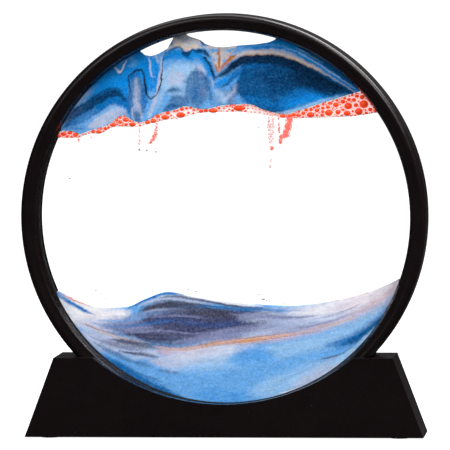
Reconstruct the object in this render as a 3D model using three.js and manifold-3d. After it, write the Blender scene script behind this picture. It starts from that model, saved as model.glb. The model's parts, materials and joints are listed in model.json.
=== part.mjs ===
// Moving sand picture: a round liquid cell in a two-part frame that turns in a trapezoid stand.
// Millimetres, +Z up, the picture faces -Y. The disc turns about +Y through (0, 0, AXIS_Z).
import * as THREE from 'three';
import { mergeVertices } from 'three/addons/utils/BufferGeometryUtils.js';
import Module from 'manifold-3d';

const wasm = await Module();
wasm.setup();

// ---- driving dimensions ----
const GAP = 0.3; // room kept between touching pieces
const HALF_GAP = GAP / 2;
const AXIS_Z = 100; // height of the disc's centre

const FRAME_R = 92.5; // outside of the round frame
const FRAME_HALF = 10.5; // half its width, front to back
const LIP_R = 84.9; // clear window radius
const LIP_INNER = 6; // from the middle plane to the lip's glass side
const POCKET_R = 89.4; // room for the panes inside the frame
const PANE_R = 88.9; // 7 inch glass
const CELL_HALF = 2; // half the space between the panes
const PANE_THICK = 2.8;
const BEAD_THICK = 0.6; // bedding between pane and lip
const SEAL_OUTER_R = 88.7;
const CELL_R = LIP_R - GAP; // liquid and sand fill this radius
const FILL_HALF = CELL_HALF - GAP;
const RING_STEPS = 64;
const STAND_STEPS = 96; // round cuts in the stand

const PEG_COUNT = 8;
const PEG_R = 0.8;
const PEG_CIRCLE_R = 90.95;
const PEG_LENGTH = 2.5;
const PLUG_ANGLE = THREE.MathUtils.degToRad(142.5); // from +X towards +Z, at rest
const PLUG_HEAD_R = 2;
const PLUG_STEM_R = 1;
const PLUG_INNER_R = 85.2; // where the stem ends, from the disc's centre
const PLUG_HEAD_AT = 4.5; // head's underside, along the plug
const PLUG_LENGTH = 7.2;

const BASE_DEPTH = 30;
const BASE_TOP = 36.7;
const BASE_BOTTOM = 0.5; // the feet stand this far proud
const BASE_FOOT_HALF = 91.2; // half width at the bottom
const BASE_TOP_HALF = 77.4; // half width at the top
const BASE_EDGE = 0.8; // moulded edge round
const GROOVE_CLEAR = 0.4; // running room under the rim
const GROOVE_HALF = FRAME_HALF + 0.5;
const WINDOW_R = 93.7; // arc cut through the stand's front and rear walls
const WINDOW_Z = 109.3;
const SHELL = 2.5; // moulded wall
const RIB = 1.6;
const RIB_PITCH = 17;
const FOOT_R = 5;
const FOOT_THICK = 1.2;
const FOOT_X = 80;
const FOOT_Y = 8;

// ---- materials ----
const look = (color, roughness, extra = {}) =>
  new THREE.MeshStandardMaterial({ color, roughness, metalness: 0, ...extra });
const blackPlastic = () => look(0x191415, 0.38);
const clearGlass = () => look(0xf4faf9, 0.05, { transparent: true, opacity: 0.3 });
const clearLiquid = () => look(0xf2f8fb, 0.05, { transparent: true, opacity: 0.2 });
const blackSilicone = () => look(0x17161a, 0.6);
const sand = (color) => look(color, 0.95);

// ---- solids ----
// A closed three.js geometry as a manifold solid.
function solid(geometry) {
  const bare = geometry.clone();
  bare.deleteAttribute('normal');
  bare.deleteAttribute('uv');
  const merged = mergeVertices(bare, 1e-4);
  const vertProperties = new Float32Array(merged.getAttribute('position').array);
  const triVerts = new Uint32Array(merged.getIndex().array);
  return new wasm.Manifold(new wasm.Mesh({ numProp: 3, vertProperties, triVerts }));
}

function geometryOf(manifold) {
  const mesh = manifold.getMesh();
  const geometry = new THREE.BufferGeometry();
  geometry.setAttribute('position', new THREE.BufferAttribute(mesh.vertProperties, 3));
  geometry.setIndex(new THREE.BufferAttribute(mesh.triVerts, 1));
  geometry.computeVertexNormals();
  return geometry;
}

// An outline in the disc's plane (x, z), as thick as 2 * half about y = 0.
function slab(outline, half) {
  const shape = new THREE.Shape(outline);
  const geometry = new THREE.ExtrudeGeometry(shape, { depth: 2 * half, bevelEnabled: false });
  geometry.rotateX(Math.PI / 2);
  geometry.translate(0, half, 0);
  return solid(geometry);
}

// A round bar along Y.
function bar(radius, half, steps, x = 0, z = 0, y = 0) {
  const geometry = new THREE.CylinderGeometry(radius, radius, 2 * half, steps);
  geometry.translate(x, y, z);
  return solid(geometry);
}

const spun = (profile) =>
  new THREE.LatheGeometry([...profile, profile[0]].map(([r, y]) => new THREE.Vector2(r, y)), RING_STEPS);

const disc = new THREE.Group();
disc.position.z = AXIS_Z;
const part = new THREE.Group();
part.add(disc);

function addMesh(group, name, geometry, material) {
  const mesh = new THREE.Mesh(geometry, material);
  mesh.name = name;
  group.add(mesh);
  return mesh;
}

// ---- frame, panes and seals ----
const atAngle = (radius, angle) => [radius * Math.cos(angle), radius * Math.sin(angle)];
const plugAxis = new THREE.Vector3(Math.cos(PLUG_ANGLE), 0, Math.sin(PLUG_ANGLE));
const plugTurn = new THREE.Quaternion().setFromUnitVectors(new THREE.Vector3(0, 1, 0), plugAxis);

// A radial bar at the plug, from one distance from the centre to another.
function plugBore(radius, from, to) {
  const geometry = new THREE.CylinderGeometry(radius, radius, to - from, 16);
  geometry.applyQuaternion(plugTurn);
  geometry.translate(...plugAxis.clone().multiplyScalar((from + to) / 2).toArray());
  return solid(geometry);
}

// Section of the rear half: rim, rounded edge, flat bead, fine groove, inner band, cone, lip, pocket.
const FRAME_SECTION = [
  [FRAME_R, HALF_GAP],
  [FRAME_R, FRAME_HALF - 1.6],
  [FRAME_R - 0.4, FRAME_HALF - 0.6],
  [FRAME_R - 1.3, FRAME_HALF],
  [89.1, FRAME_HALF],
  [88.7, FRAME_HALF - 0.6],
  [88.3, FRAME_HALF - 0.2],
  [86.5, FRAME_HALF - 0.9],
  [85.7, FRAME_HALF - 1.7],
  [LIP_R, LIP_INNER],
  [POCKET_R, LIP_INNER],
  [POCKET_R, HALF_GAP],
];

function addFrame() {
  const plugHole = plugBore(PLUG_HEAD_R + GAP, POCKET_R - 1, FRAME_R + 1);
  const mirrored = FRAME_SECTION.map(([r, y]) => [r, -y]).reverse();
  let rear = solid(spun(FRAME_SECTION)).subtract(plugHole);
  let front = solid(spun(mirrored)).subtract(plugHole);
  for (let i = 0; i < PEG_COUNT; i += 1) {
    const [x, z] = atAngle(PEG_CIRCLE_R, ((i + 0.5) * 2 * Math.PI) / PEG_COUNT);
    rear = rear.add(bar(PEG_R, (PEG_LENGTH + 1) / 2, 10, x, z, (1 - PEG_LENGTH) / 2));
    front = front.subtract(bar(PEG_R + GAP, PEG_LENGTH + GAP, 10, x, z));
  }
  addMesh(disc, 'frame_front_ring', geometryOf(front), blackPlastic());
  addMesh(disc, 'frame_rear_ring', geometryOf(rear), blackPlastic());
}

function addPane(name, side) {
  const geometry = new THREE.CylinderGeometry(PANE_R, PANE_R, PANE_THICK, RING_STEPS);
  geometry.translate(0, side * (CELL_HALF + PANE_THICK / 2), 0);
  addMesh(disc, name, geometry, clearGlass());
}

// A flat ring between two radii and two distances from the middle plane.
const flatRing = (inner, outer, low, high) =>
  spun([[outer, low], [outer, high], [inner, high], [inner, low]]);

function addSeals() {
  const near = CELL_HALF + PANE_THICK + GAP;
  const far = near + BEAD_THICK;
  const beadInner = LIP_R + 0.7;
  const beadOuter = SEAL_OUTER_R;
  addMesh(disc, 'front_bedding_bead', flatRing(beadInner, beadOuter, -far, -near), blackSilicone());
  addMesh(disc, 'rear_bedding_bead', flatRing(beadInner, beadOuter, near, far), blackSilicone());
  const ring = solid(flatRing(LIP_R, SEAL_OUTER_R, -FILL_HALF, FILL_HALF));
  const bored = ring.subtract(plugBore(PLUG_STEM_R + GAP, LIP_R - 1, SEAL_OUTER_R + 1));
  addMesh(disc, 'spacer_seal', geometryOf(bored), blackSilicone());
}

function addFillPlug() {
  const profile = [
    [0, 0],
    [PLUG_STEM_R, 0],
    [PLUG_STEM_R, PLUG_HEAD_AT],
    [PLUG_HEAD_R, PLUG_HEAD_AT],
    [PLUG_HEAD_R, PLUG_LENGTH - 0.3],
    [PLUG_HEAD_R - 0.3, PLUG_LENGTH],
    [0.7, PLUG_LENGTH],
    [0.5, PLUG_LENGTH - 0.6],
    [0, PLUG_LENGTH - 0.6],
  ].map(([r, y]) => new THREE.Vector2(r, y));
  const plug = addMesh(disc, 'fill_plug', new THREE.LatheGeometry(profile, 20), blackSilicone());
  plug.quaternion.copy(plugTurn);
  plug.position.copy(plugAxis).multiplyScalar(PLUG_INNER_R);
}

// ---- sand, bubbles and liquid ----
// Lines are smooth curves through (x, z) points about the disc's centre. What a line bounds lies on
// its right hand as it runs, and grow moves the line to its left, so that neighbours keep their gap.
const FAR = 110; // beyond the cell
const LINE_STEP = 3;

function smooth(points) {
  const curve = new THREE.SplineCurve(points.map(([x, z]) => new THREE.Vector2(x, z)));
  return curve.getSpacedPoints(Math.ceil(curve.getLength() / LINE_STEP));
}

function shifted(line, distance, closed = false) {
  const last = line.length - 1;
  return line.map((point, i) => {
    const before = i > 0 ? line[i - 1] : line[closed ? last : 0];
    const after = i < last ? line[i + 1] : line[closed ? 0 : last];
    const along = after.clone().sub(before).normalize();
    return new THREE.Vector2(point.x - along.y * distance, point.y + along.x * distance);
  });
}

const corner = (x, z) => new THREE.Vector2(x, z);
const below = (points, grow) =>
  slab([...shifted(smooth(points), grow), corner(FAR, -FAR), corner(-FAR, -FAR)], FILL_HALF + 1);
const above = (points, grow) =>
  slab([...shifted(smooth(points), -grow), corner(FAR, FAR), corner(-FAR, FAR)], FILL_HALF + 1);
const leftOf = (points, grow) =>
  slab([...shifted(smooth(points), grow), corner(-FAR, -FAR), corner(-FAR, FAR)], FILL_HALF + 1);

// A band along a line, as wide at each of its ends as ends says.
function band(line, ends, grow) {
  const half = (i) => THREE.MathUtils.lerp(ends[0], ends[1], i / (line.length - 1)) / 2 + grow;
  const left = line.map((_, i) => shifted(line, half(i))[i]);
  const right = line.map((_, i) => shifted(line, -half(i))[i]);
  return slab([...left, ...right.reverse()], FILL_HALF + 1);
}

const RAFT_TOP = [
  [-95, 39], [-75, 39.4], [-69, 39.4], [-66.2, 37.6], [-62, 39.4], [-53.8, 41.7], [-48.3, 45.8],
  [-44.7, 46.3], [-40.1, 43.1], [-35, 44], [-29.5, 47.2], [-22.7, 48.6], [-17.1, 50.6], [-8.9, 49],
  [0, 50.8], [12.2, 51.3], [17, 49.2], [26.9, 46.7], [34.7, 48.3], [43.8, 51.3], [58.5, 55.7],
  [66, 57], [95, 58],
];
const RAFT_BOTTOM = [
  [-95, 36], [-76, 36.2], [-66.2, 36], [-62, 38.2], [-57, 37.7], [-51.5, 40.6], [-47.4, 41.2],
  [-41, 40.8], [-35, 42], [-27, 44], [-19.4, 44.9], [-10.3, 47.2], [7.2, 47.6], [20, 46],
  [27.8, 44.7], [40, 44.7], [57.6, 45.3], [70.4, 46.9], [95, 49],
];
const LOWER_TOP = [
  [-95, -25], [-76.8, -34], [-62, -40.4], [-45.6, -41.3], [-38.7, -38.3], [-30.4, -35.1],
  [-25.9, -34.4], [-15.8, -36], [0, -38.3], [16.3, -40.2], [25.5, -40.6], [34.7, -40.4],
  [57.6, -36.7], [75.9, -30.1], [95, -19],
];
const CREST_LINE = [
  [-95, -36], [-73, -43.5], [-60, -47.5], [-50, -47.5], [-41.4, -42.5], [-29.5, -38.4],
  [-11.2, -40.4], [16.3, -44.2], [30, -46.3], [50, -44], [66, -38.5], [95, -26],
];
const DRIFT_LINE = [
  [-95, -41], [-71, -47.8], [-61.6, -50.8], [-43.3, -56.4], [-24.9, -59.8], [-11.2, -58.9],
  [0, -56.9], [16.3, -55], [30, -53], [45, -50.5], [60, -45.5], [95, -30],
];
const COPPER_SPAN = [-27, 90]; // the copper streak runs under the drift between these x
const COPPER_DROP = 0.6;
const COPPER_WIDTHS = [1.2, 1.6];
const POCKETS = {
  left: [[-42, 90], [-37.8, 75.6], [-33.2, 73.3], [-28.2, 75.1], [-26, 76.4], [-22.7, 81.6], [-21, 90]],
  right: [[-20, 90], [-16.9, 82.9], [-11.2, 80.7], [-7, 78.1], [-1, 77], [7.2, 77.9], [16.3, 78.6],
    [24.1, 80.8], [30, 90]],
};
const LEFT_LINE = [[-37, 90], [-37.8, 75.6], [-40.5, 66.5], [-43, 62], [-42.3, 56.5], [-41.6, 50],
  [-40.1, 43], [-39, 36]];
const COLUMN_LINE = [[-22, 90], [-25.5, 76], [-28.2, 69.6], [-29.2, 59.6], [-33.2, 53.6],
  [-34.6, 48], [-35, 40]];
const DOME_LINE = [[-1, 90], [-2.6, 68], [-3.5, 62], [-4.3, 58], [-3.6, 54], [-2, 50], [0, 42]];
const PEAK_LINE = [[-95, 70], [-30, 73.5], [-24, 75.4], [-17, 76.8], [-10, 75.6], [0, 72], [95, 60]];
const WEDGE = [[-9.2, 84], [5.6, 84], [3.6, 75], [0.4, 69], [-2.9, 65.2], [-5, 70], [-7.6, 76]];
const VEIN = [[-2, 68.4], [7.2, 72.9], [14, 74.9], [23.2, 76.1], [30, 74.2], [37, 71], [43.8, 66.9],
  [53, 60.9], [60.3, 56.4], [68, 51.5]];
const VEIN_WIDTHS = [2.6, 2];
const TRICKLES = {
  left_trickle: { line: [[-38.7, 42], [-38.6, 37], [-38.9, 32.8]], ends: [1.5, 0.9] },
  middle_trickle: { line: [[-30.8, 44], [-31.8, 36.4], [-33.9, 33]], ends: [1.5, 0.9] },
  right_trickle: { line: [[29.9, 47], [29.2, 41.2], [27.4, 36.6], [25.8, 32.6]], ends: [2.6, 1.2] },
};

function addFilling() {
  const g = HALF_GAP;
  const cell = bar(CELL_R, FILL_HALF, RING_STEPS);
  const place = (name, body, material) => addMesh(disc, name, geometryOf(body), material);

  const wedge = WEDGE.map(([x, z]) => corner(x, z));
  const gold = (grow) =>
    slab(shifted(wedge, grow, true), FILL_HALF + 1).add(band(smooth(VEIN), VEIN_WIDTHS, grow));
  const veinDown = [...smooth(VEIN), corner(FAR, 30), corner(FAR, FAR), corner(-1, FAR), corner(-1, 70)];
  const overVein = slab(veinDown, FILL_HALF + 1);

  // what lies over the bubble raft
  const top = cell.subtract(below(RAFT_TOP, g));
  place('upper_left_pocket', top.intersect(above(POCKETS.left, -g)), clearLiquid());
  place('upper_right_pocket', top.intersect(above(POCKETS.right, -g)), clearLiquid());
  const sands = top.subtract(above(POCKETS.left, g)).subtract(above(POCKETS.right, g));
  const plain = sands.subtract(gold(g));
  const left = plain.intersect(leftOf(DOME_LINE, -g));
  place('upper_blue_sand', left.intersect(leftOf(LEFT_LINE, -g)), sand(0x3d7fc0));
  const column = left.intersect(leftOf(COLUMN_LINE, -g)).subtract(leftOf(LEFT_LINE, g));
  place('upper_pale_sand', column, sand(0xb9c6da));
  const middle = left.subtract(leftOf(COLUMN_LINE, g));
  place('upper_ice_sand', middle.subtract(above(PEAK_LINE, g)), sand(0x84aed6));
  place('upper_grey_sand', middle.intersect(above(PEAK_LINE, -g)), sand(0x9a95a0));
  place('upper_gold_sand', sands.intersect(gold(-g)), sand(0xc59a6e));
  const right = plain.subtract(leftOf(DOME_LINE, g));
  place('upper_crown_sand', right.intersect(overVein), sand(0x4b9ddc));
  place('upper_navy_sand', right.subtract(overVein), sand(0x12406f));

  // the raft and what trickles from it
  const raft = cell.intersect(below(RAFT_TOP, -g)).subtract(below(RAFT_BOTTOM, g));
  place('bubble_raft', raft, look(0xf24a28, 0.25));
  let liquid = cell.intersect(below(RAFT_BOTTOM, -g)).subtract(below(LOWER_TOP, g));
  for (const [name, { line, ends }] of Object.entries(TRICKLES)) {
    const body = cell.intersect(band(smooth(line), ends, 0)).intersect(below(RAFT_BOTTOM, -g));
    place(name, body, sand(0xee6a5c));
    liquid = liquid.subtract(band(smooth(line), ends, GAP));
  }
  place('clear_liquid', liquid, clearLiquid());

  // the landscape at the bottom
  const bottom = cell.intersect(below(LOWER_TOP, -g));
  const underDrift = shifted(smooth(DRIFT_LINE), -COPPER_DROP);
  const copperLine = underDrift.filter(({ x }) => x > COPPER_SPAN[0] && x < COPPER_SPAN[1]);
  const copper = (grow) => band(copperLine, COPPER_WIDTHS, grow);
  place('lower_crest_sand', bottom.subtract(below(CREST_LINE, g)), sand(0xcfd9ea));
  const drift = bottom.intersect(below(CREST_LINE, -g)).subtract(below(DRIFT_LINE, g));
  place('lower_drift_sand', drift.subtract(copper(GAP)), sand(0x4f4d78));
  place('lower_copper_sand', bottom.intersect(copper(0)), sand(0xc4936f));
  const bed = bottom.intersect(below(DRIFT_LINE, -g)).subtract(copper(GAP));
  place('lower_bed_sand', bed, sand(0x6fb0de));
}

// ---- stand ----
// Half width of the stand at a height.
const baseHalf = (z) =>
  THREE.MathUtils.mapLinear(z, 0, BASE_TOP, BASE_FOOT_HALF, BASE_TOP_HALF);

// The stand's trapezoid, inset by so much, with its corners cut to a small round.
function trapezoid(inset, low) {
  const high = BASE_TOP - inset;
  const e = BASE_EDGE * (inset ? 0.5 : 1);
  const slope = (BASE_FOOT_HALF - BASE_TOP_HALF) / BASE_TOP;
  const half = (z) => baseHalf(z) - inset * Math.hypot(1, slope);
  const rightSide = [
    [half(low) - e, low],
    [half(low + e), low + e],
    [half(high - e), high - e],
    [half(high) - 0.3 * e, high - 0.3 * e],
    [half(high) - e, high],
  ];
  const leftSide = rightSide.map(([x, z]) => [-x, z]).reverse();
  return [...rightSide, ...leftSide].map(([x, z]) => corner(x, z));
}

function box(x, y, z, cx, cy, cz) {
  const geometry = new THREE.BoxGeometry(x, y, z);
  geometry.translate(cx, cy, cz);
  return solid(geometry);
}

function post(radius, low, high, x, y) {
  const geometry = new THREE.CylinderGeometry(radius, radius, high - low, 24);
  geometry.rotateX(Math.PI / 2);
  geometry.translate(x, y, (low + high) / 2);
  return solid(geometry);
}

const footPlaces = [-1, 1].flatMap((sx) => [-1, 1].map((sy) => [sx * FOOT_X, sy * FOOT_Y]));

function hollow() {
  const grooveFloor = FRAME_R + GROOVE_CLEAR + SHELL;
  let room = slab(trapezoid(SHELL, BASE_BOTTOM - 2), BASE_DEPTH / 2 - SHELL - 0.5);
  room = room.subtract(bar(grooveFloor, BASE_DEPTH, STAND_STEPS, 0, AXIS_Z));
  room = room.subtract(box(2 * FRAME_R, RIB, BASE_TOP * 2, 0, 0, 0));
  const ribs = Math.floor(BASE_TOP_HALF / RIB_PITCH);
  for (let i = -ribs; i <= ribs; i += 1) {
    room = room.subtract(box(RIB, BASE_DEPTH, BASE_TOP * 2, i * RIB_PITCH, 0, 0));
  }
  for (const [x, y] of footPlaces) {
    room = room.subtract(post(FOOT_R + 1.4, -2, BASE_TOP, x, y));
  }
  return room;
}

function addStand() {
  let shell = slab(trapezoid(0, BASE_BOTTOM), BASE_DEPTH / 2);
  shell = shell.subtract(bar(FRAME_R + GROOVE_CLEAR, GROOVE_HALF, STAND_STEPS, 0, AXIS_Z));
  shell = shell.subtract(bar(WINDOW_R, BASE_DEPTH, STAND_STEPS, 0, WINDOW_Z));
  shell = shell.subtract(hollow());
  for (const [x, y] of footPlaces) {
    shell = shell.subtract(post(FOOT_R + GAP, -1, FOOT_THICK + GAP, x, y));
  }
  addMesh(part, 'base_shell', geometryOf(shell), blackPlastic());
  footPlaces.forEach(([x, y]) => {
    const geometry = new THREE.CylinderGeometry(FOOT_R, FOOT_R, FOOT_THICK, 24);
    geometry.rotateX(Math.PI / 2);
    const name = `foot_${x < 0 ? 'left' : 'right'}_${y < 0 ? 'front' : 'rear'}`;
    addMesh(part, name, geometry, look(0x1d1d1f, 0.85)).position.set(x, y, FOOT_THICK / 2);
  });
}

addFrame();
addPane('front_glass', -1);
addPane('rear_glass', 1);
addSeals();
addFillPlug();
addFilling();
addStand();

export default part;
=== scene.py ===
"""Looks of the moving sand picture: a round liquid cell in a black frame that turns in its stand.

Lengths are written in millimetres and turned to metres when a mesh is made. The picture is drawn in
the disc's own plane, x to the right and z up from the disc's centre; the viewer is on the -Y side.
"""
import json
import math

import bmesh
import bpy
import numpy as np
from mathutils import Matrix, Vector
from mathutils.bvhtree import BVHTree


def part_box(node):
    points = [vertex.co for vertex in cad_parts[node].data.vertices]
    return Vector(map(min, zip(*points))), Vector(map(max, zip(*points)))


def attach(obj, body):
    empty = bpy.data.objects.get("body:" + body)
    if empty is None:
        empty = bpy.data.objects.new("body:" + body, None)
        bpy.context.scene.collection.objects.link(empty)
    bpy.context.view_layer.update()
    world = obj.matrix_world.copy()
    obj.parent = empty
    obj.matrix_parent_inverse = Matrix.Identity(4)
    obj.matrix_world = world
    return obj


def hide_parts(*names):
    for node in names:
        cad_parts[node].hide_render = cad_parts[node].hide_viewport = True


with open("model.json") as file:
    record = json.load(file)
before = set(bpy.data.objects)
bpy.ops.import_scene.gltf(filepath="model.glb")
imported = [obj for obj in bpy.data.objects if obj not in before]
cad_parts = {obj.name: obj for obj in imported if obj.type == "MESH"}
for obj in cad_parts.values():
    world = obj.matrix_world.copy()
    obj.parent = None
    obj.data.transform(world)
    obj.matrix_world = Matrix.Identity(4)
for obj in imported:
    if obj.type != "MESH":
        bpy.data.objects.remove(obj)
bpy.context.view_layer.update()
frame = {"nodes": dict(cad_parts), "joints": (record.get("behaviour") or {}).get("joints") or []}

MM = 0.001
scene = bpy.context.scene
AXIS_Z = frame["joints"][0]["pos_m"][2] / MM  # height of the disc's centre


# ---------------- camera, light and floor
AIM = Vector((0.0001, 0, 0.0962))
AZIMUTH, ELEVATION, ROLL = math.radians(6.18), math.radians(3.6), math.radians(-0.49)
DISTANCE, LENS, SENSOR = 2.12, 372.4, 36

# Area lights: place, size across and along, power. All of them look at the disc's centre.
LIGHTS = {
    "key_light": ((0.9, -0.9, 1.15), (0.4, 0.9), 15),
    "fill_light": ((-0.7, -1.7, 1.1), (1.2, 0.8), 10),
    "top_light": ((0, 0.2, 1.5), (1.6, 0.9), 16),
    "edge_light": ((0.8, 0.1, 1.5), (0.75, 1.3), 48),
    "back_light": ((0.15, 1.8, 0.88), (2.0, 1.1), 0.7),
}
LIGHT_TARGET = Vector((0, 0, 0.1))

# How bright the room looks to other rays, to the glossy ones and to the camera. The black plastic
# mirrors little of the white paper, and the paper itself stays white.
ROOM_LIGHT = ((1.0, None), (0.02, "Is Glossy Ray"), (1.12, "Is Camera Ray"))
FLOOR_R = 12


def make_camera():
    back = Vector((math.sin(AZIMUTH) * math.cos(ELEVATION), -math.cos(AZIMUTH) * math.cos(ELEVATION),
                   math.sin(ELEVATION)))
    right = Vector((math.cos(AZIMUTH), math.sin(AZIMUTH), 0))
    up = back.cross(right)
    turned_right = math.cos(ROLL) * right + math.sin(ROLL) * up
    turned_up = math.cos(ROLL) * up - math.sin(ROLL) * right
    camera = bpy.data.objects.new("camera", bpy.data.cameras.new("camera"))
    camera.data.lens = LENS
    camera.data.sensor_width = SENSOR
    camera.data.clip_start, camera.data.clip_end = 0.05, 50
    camera.matrix_world = Matrix.Translation(AIM + back * DISTANCE) @ Matrix(
        (turned_right, turned_up, back)).transposed().to_4x4()
    scene.collection.objects.link(camera)
    scene.camera = camera


def area_light(name, place, size, power):
    light = bpy.data.objects.new(name, bpy.data.lights.new(name, "AREA"))
    light.data.shape = "RECTANGLE"
    light.data.size, light.data.size_y = size
    light.data.energy = power
    light.location = place
    light.rotation_euler = (LIGHT_TARGET - Vector(place)).to_track_quat("-Z", "Y").to_euler()
    scene.collection.objects.link(light)


def mixed_by_ray(tree, path, ray, usual, seen):
    """A shader that is the second one for rays of the named kind and the first one for the rest."""
    mix = tree.nodes.new("ShaderNodeMixShader")
    tree.links.new(path.outputs[ray], mix.inputs[0])
    tree.links.new(usual, mix.inputs[1])
    tree.links.new(seen, mix.inputs[2])
    return mix.outputs[0]


def make_room():
    world = bpy.data.worlds.new("studio")
    world.use_nodes = True
    scene.world = world
    tree = world.node_tree
    path = tree.nodes.new("ShaderNodeLightPath")
    last = None
    for strength, ray in ROOM_LIGHT:
        sky = tree.nodes.new("ShaderNodeBackground")
        sky.inputs["Color"].default_value = (1, 1, 1, 1)
        sky.inputs["Strength"].default_value = strength
        last = mixed_by_ray(tree, path, ray, last, sky.outputs[0]) if ray else sky.outputs[0]
    tree.links.new(last, tree.nodes["World Output"].inputs["Surface"])


def make_floor():
    """Pale paper to the camera and nearly black to other rays, so that the plastic keeps its depth."""
    bpy.ops.mesh.primitive_circle_add(vertices=96, radius=FLOOR_R, fill_type="NGON")
    floor = bpy.context.object
    floor.name = "floor"
    material = bpy.data.materials.new("floor_paper")
    material.use_nodes = True
    tree = material.node_tree
    paper = tree.nodes["Principled BSDF"]
    paper.inputs["Base Color"].default_value = (0.22, 0.22, 0.22, 1)
    paper.inputs["Roughness"].default_value = 0.95
    paper.inputs["Specular IOR Level"].default_value = 0.0
    paper.inputs["Emission Color"].default_value = (1, 1, 1, 1)
    paper.inputs["Emission Strength"].default_value = 0.94
    dark = tree.nodes.new("ShaderNodeBsdfDiffuse")
    dark.inputs["Color"].default_value = (0.02, 0.02, 0.02, 1)
    path = tree.nodes.new("ShaderNodeLightPath")
    surface = mixed_by_ray(tree, path, "Is Camera Ray", dark.outputs[0], paper.outputs[0])
    tree.links.new(surface, tree.nodes["Material Output"].inputs["Surface"])
    floor.data.materials.append(material)


scene.view_settings.view_transform = "Standard"
make_camera()
make_room()
for light_name, settings in LIGHTS.items():
    area_light(light_name, *settings)
make_floor()


# ---------------- materials
def srgb(r, g, b):
    """A colour as a person reads it off a screen, 0 to 255, as the linear colour Blender wants."""
    return tuple(((c / 255 + 0.055) / 1.055) ** 2.4 if c > 10 else c / 255 / 12.92 for c in (r, g, b))


class Nodes:
    """A material's nodes, with short ways to add them."""

    def __init__(self, name):
        self.material = bpy.data.materials.new(name)
        self.material.use_nodes = True
        self.tree = self.material.node_tree
        self.shader = self.tree.nodes["Principled BSDF"]
        self.output = self.tree.nodes["Material Output"]

    def add(self, kind, **values):
        node = self.tree.nodes.new("ShaderNode" + kind)
        for key, value in values.items():
            if hasattr(node, key):
                setattr(node, key, value)
            else:
                node.inputs[key.replace("_", " ")].default_value = value
        return node

    def link(self, out, into):
        self.tree.links.new(out, into)

    def drive(self, socket, out):
        """Links an output to one of the shader's own sockets."""
        self.link(out, self.shader.inputs[socket])

    def fix(self, socket, value):
        """Sets one of the shader's own sockets to a value that is the same all over."""
        self.shader.inputs[socket].default_value = value

    def place(self):
        return self.add("TexCoord").outputs["Object"]

    def noise(self, scale, detail, roughness=0.55):
        node = self.add("TexNoise", Scale=scale, Detail=detail, Roughness=roughness)
        self.link(self.place(), node.inputs["Vector"])
        return node.outputs["Fac"]

    def spread(self, value, low, high, ends=(0.3, 0.7)):
        node = self.add("MapRange")
        self.link(value, node.inputs["Value"])
        for name, number in zip(("From Min", "From Max", "To Min", "To Max"), (*ends, low, high)):
            node.inputs[name].default_value = number
        return node.outputs["Result"]

    def tint(self, value, low, high, ends=(0.3, 0.7)):
        node = self.add("ValToRGB")
        node.color_ramp.elements[0].position, node.color_ramp.elements[1].position = ends
        node.color_ramp.elements[0].color = (*low, 1)
        node.color_ramp.elements[1].color = (*high, 1)
        self.link(value, node.inputs["Fac"])
        return node.outputs["Color"]

    def bump(self, value, strength, distance):
        node = self.add("Bump", Strength=strength, Distance=distance)
        self.link(value, node.inputs["Height"])
        self.drive("Normal", node.outputs["Normal"])


def matter(name, cloud, dark, light, sheen, rough, grain, relief, ends=(0.3, 0.7), fixed=()):
    """Opaque matter: noise between two colours, uneven roughness and a fine relief.

    cloud, sheen and grain are the scale and detail of the three noises.
    """
    n = Nodes(name)
    n.drive("Base Color", n.tint(n.noise(*cloud), srgb(*dark), srgb(*light), ends))
    n.drive("Roughness", n.spread(n.noise(*sheen), *rough))
    n.bump(n.noise(*grain), *relief)
    for socket, value in dict(fixed).items():
        n.fix(socket, value)
    return n.material


def foot_foam():
    n = Nodes("foot_foam")
    n.drive("Base Color", n.tint(n.noise(900, 5), srgb(20, 20, 21), srgb(44, 44, 46)))
    n.fix("Roughness", 0.9)
    cells = n.add("TexVoronoi", Scale=1800.0)
    n.link(n.place(), cells.inputs["Vector"])
    n.bump(cells.outputs["Distance"], 0.6, 0.0002)
    return n.material


def see_through(name, gloss, tint, smears):
    """Thin clear matter, straight through. Any gloss on it is weak and grows towards grazing angles."""
    n = Nodes(name)
    n.tree.nodes.remove(n.shader)
    clear = n.add("BsdfTransparent", Color=(*tint, 1))
    if not gloss:
        cloud = n.tint(n.noise(24, 2), tint, tuple(min(1, 1.01 * c) for c in tint))
        n.link(cloud, clear.inputs["Color"])
        n.link(clear.outputs[0], n.output.inputs["Surface"])
        return n.material
    shine = n.add("BsdfGlossy", Color=(1, 1, 1, 1))
    n.link(n.spread(n.noise(22, 5, 0.65), *smears), shine.inputs["Roughness"])
    facing = n.add("LayerWeight", Blend=0.5).outputs["Facing"]
    power = n.add("Math", operation="POWER")
    n.link(facing, power.inputs[0])
    power.inputs[1].default_value = 5
    edge = n.add("Math", operation="MULTIPLY_ADD")
    n.link(power.outputs[0], edge.inputs[0])
    edge.inputs[1].default_value, edge.inputs[2].default_value = 0.8, gloss
    mix = n.add("MixShader")
    n.link(edge.outputs[0], mix.inputs[0])
    n.link(clear.outputs[0], mix.inputs[1])
    n.link(shine.outputs[0], mix.inputs[2])
    n.link(mix.outputs[0], n.output.inputs["Surface"])
    return n.material


def sand_material():
    """Fine dyed sand: the painted colour broken up by single grains, each with its own shade."""
    n = Nodes("dyed_sand")
    paint = n.add("Attribute", attribute_name="paint")
    grains = n.add("TexVoronoi", Scale=1750.0)
    n.link(n.place(), grains.inputs["Vector"])
    split = n.add("SeparateColor")
    n.link(grains.outputs["Color"], split.inputs["Color"])
    shade = n.add("Gamma")
    n.link(paint.outputs["Color"], shade.inputs["Color"])
    n.link(n.spread(split.outputs["Red"], 0.82, 1.18, (0, 1)), shade.inputs["Gamma"])
    n.drive("Base Color", shade.outputs["Color"])
    n.drive("Roughness", n.spread(split.outputs["Green"], 0.75, 1.0, (0, 1)))
    n.fix("Specular IOR Level", 0.05)
    n.bump(grains.outputs["Distance"], 0.25, 0.0001)
    return n.material


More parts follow.
